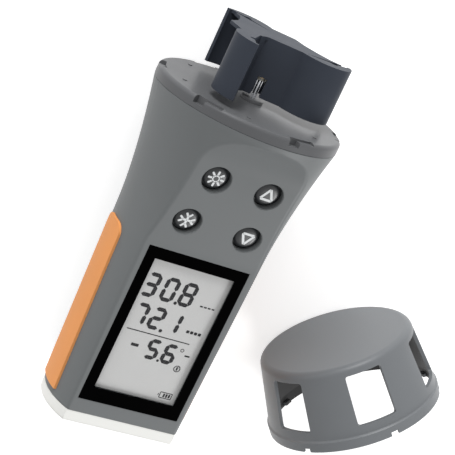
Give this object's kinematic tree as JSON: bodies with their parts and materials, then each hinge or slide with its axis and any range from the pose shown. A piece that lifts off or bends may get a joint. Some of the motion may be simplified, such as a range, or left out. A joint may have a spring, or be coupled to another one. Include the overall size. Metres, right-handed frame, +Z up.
{
  "type": "hand anemometer",
  "caption": "Hand anemometer lying on its back: tapered case with screen, sprung buttons and grip strips, bucket rotor on its head, and the slotted guard cap laid beside it.",
  "frame": {"origin": "middle of the footprint on the table, at table height", "axes": "+Z up from the table, +Y toward the rotor end, +X toward the guard cap"},
  "size_m": [0.1476, 0.1474, 0.0652],
  "materials": {
    "head_grey": "satin",
    "case_grey": "fine matte",
    "base_white": "satin",
    "seal_black": "matte",
    "brass": "turned",
    "grip_orange": "matte, fine grain",
    "frame_black": "gloss",
    "window_clear": "clear",
    "lcd_grey": "display",
    "diffuser_white": "diffuse",
    "board_green": "solder mask",
    "button_black": "matte",
    "mat_grey": "matte",
    "screw_steel": "zinc",
    "cable_amber": "film",
    "probe_black": "bead",
    "tray_black": "moulded",
    "cell_blue": "sleeve",
    "contact_nickel": "nickel plated",
    "rotor_grey": "satin",
    "magnet_grey": "sintered",
    "pin_steel": "ground",
    "washer_white": "smooth",
    "cap_grey": "fine matte"
  },
  "bodies": {
    "case": {"head_plate": "head_grey", "front_shell": "case_grey", "rear_shell": "case_grey", "tripod_insert": "brass", "grip_left": "grip_orange", "grip_right": "grip_orange", "bezel": "frame_black", "window_pane": "window_clear", "lcd_panel": "lcd_grey", "backlight": "diffuser_white", "main_board": "board_green", "button_mat": "mat_grey", "button_board": "board_green", "board_screws": "screw_steel", "housing_screws": "screw_steel", "flex_cables": "cable_amber", "sensor_board": "board_green", "temperature_probe": "probe_black", "battery_tray": "tray_black", "battery_a": "cell_blue", "battery_b": "cell_blue", "top_contacts": "contact_nickel", "rotor_pin": "pin_steel", "thrust_washer": "washer_white"},
    "rotor_group": {"rotor": "rotor_grey", "bearing_cup": "brass", "rotor_magnets": "magnet_grey"},
    "base_group": {"base_cap": "base_white", "base_gasket": "seal_black", "base_contacts": "contact_nickel"},
    "cap_group": {"guard_cap": "cap_grey"},
    "button_light_body": {"button_light": "button_black"},
    "button_up_body": {"button_up": "button_black"},
    "button_mode_body": {"button_mode": "button_black"},
    "button_down_body": {"button_down": "button_black"}
  },
  "joints": [
    {"name": "rotor_spin", "type": "hinge", "parent": "case", "child": "rotor_group", "pos_m": [-0.0408, 0.06192, 0.03311], "axis": [0, 0.998, 0.0633], "continuous": true},
    {"name": "button_light_press", "type": "slide", "parent": "case", "child": "button_light_body", "axis": [0, 0.2694, -0.963], "range_m": [0, 0.0008], "stiffness_N_per_m": 300, "springref_m": -0.0005},
    {"name": "button_up_press", "type": "slide", "parent": "case", "child": "button_up_body", "axis": [0, 0.2694, -0.963], "range_m": [0, 0.0008], "stiffness_N_per_m": 300, "springref_m": -0.0005},
    {"name": "button_mode_press", "type": "slide", "parent": "case", "child": "button_mode_body", "axis": [0, 0.2694, -0.963], "range_m": [0, 0.0008], "stiffness_N_per_m": 300, "springref_m": -0.0005},
    {"name": "button_down_press", "type": "slide", "parent": "case", "child": "button_down_body", "axis": [0, 0.2694, -0.963], "range_m": [0, 0.0008], "stiffness_N_per_m": 300, "springref_m": -0.0005},
    {"name": "base_slide", "type": "slide", "parent": "case", "child": "base_group", "axis": [0, -0.998, -0.0633], "range_m": [0, 0.014]},
    {"name": "cap_lift", "type": "slide", "parent": "case", "child": "cap_group", "axis": [0, 0, 1], "range_m": [0, 0.06]}
  ]
}
